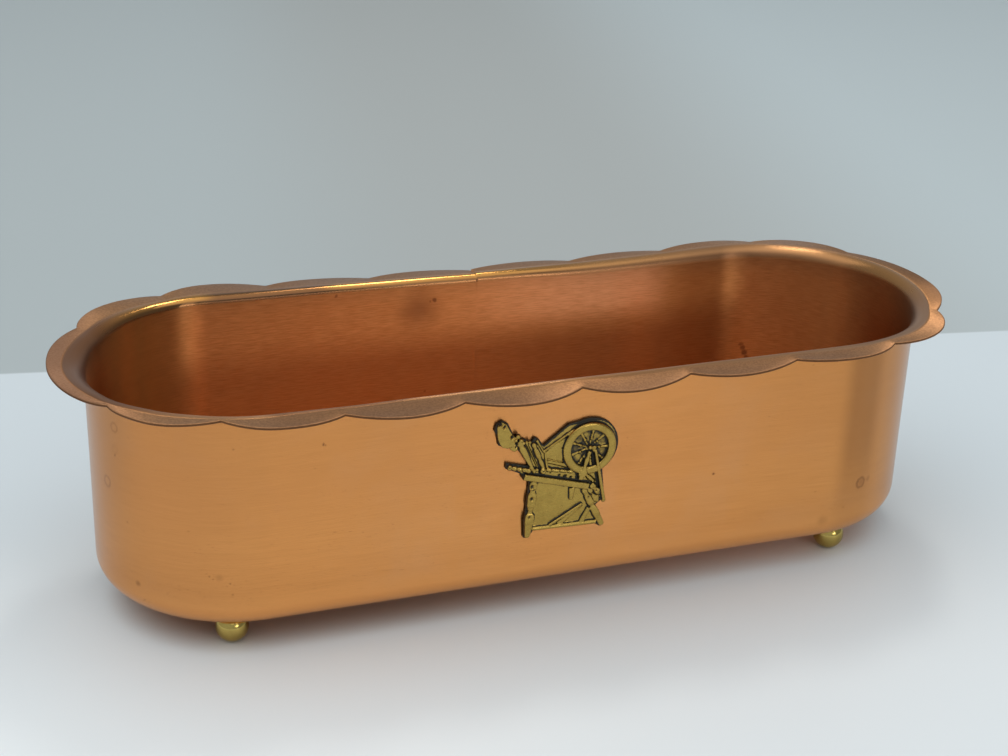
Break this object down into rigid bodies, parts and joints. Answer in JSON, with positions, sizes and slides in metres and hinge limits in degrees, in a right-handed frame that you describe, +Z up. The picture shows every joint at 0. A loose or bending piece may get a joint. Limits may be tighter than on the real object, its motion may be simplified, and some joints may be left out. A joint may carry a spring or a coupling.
{
  "type": "footed dish",
  "caption": "Long copper dish with round ends, a rolled lip, a scalloped flange, small brass ball feet and a cast brass spinning wheel relief on the front wall.",
  "frame": {"origin": "on the table, under the middle of the dish", "axes": "+X along the dish, +Z up, -Y out of the front wall that carries the relief"},
  "size_m": [0.3004, 0.114, 0.0833],
  "materials": {
    "copper": "satin copper, brushed along its length, lightly tarnished inside",
    "polished_brass": "polished brass",
    "screw_brass": "turned brass",
    "cast_brass": "cast brass, faces polished, black patina in the recesses",
    "nut_steel": "plain spring steel"
  },
  "bodies": {
    "root": {"dish_body": "copper", "foot_front_left": "polished_brass", "foot_front_right": "polished_brass", "foot_back_left": "polished_brass", "foot_back_right": "polished_brass", "foot_screw_front_left": "screw_brass", "foot_screw_front_right": "screw_brass", "foot_screw_back_left": "screw_brass", "foot_screw_back_right": "screw_brass", "emblem": "cast_brass", "emblem_nut_left": "nut_steel", "emblem_nut_right": "nut_steel"}
  },
  "joints": []
}
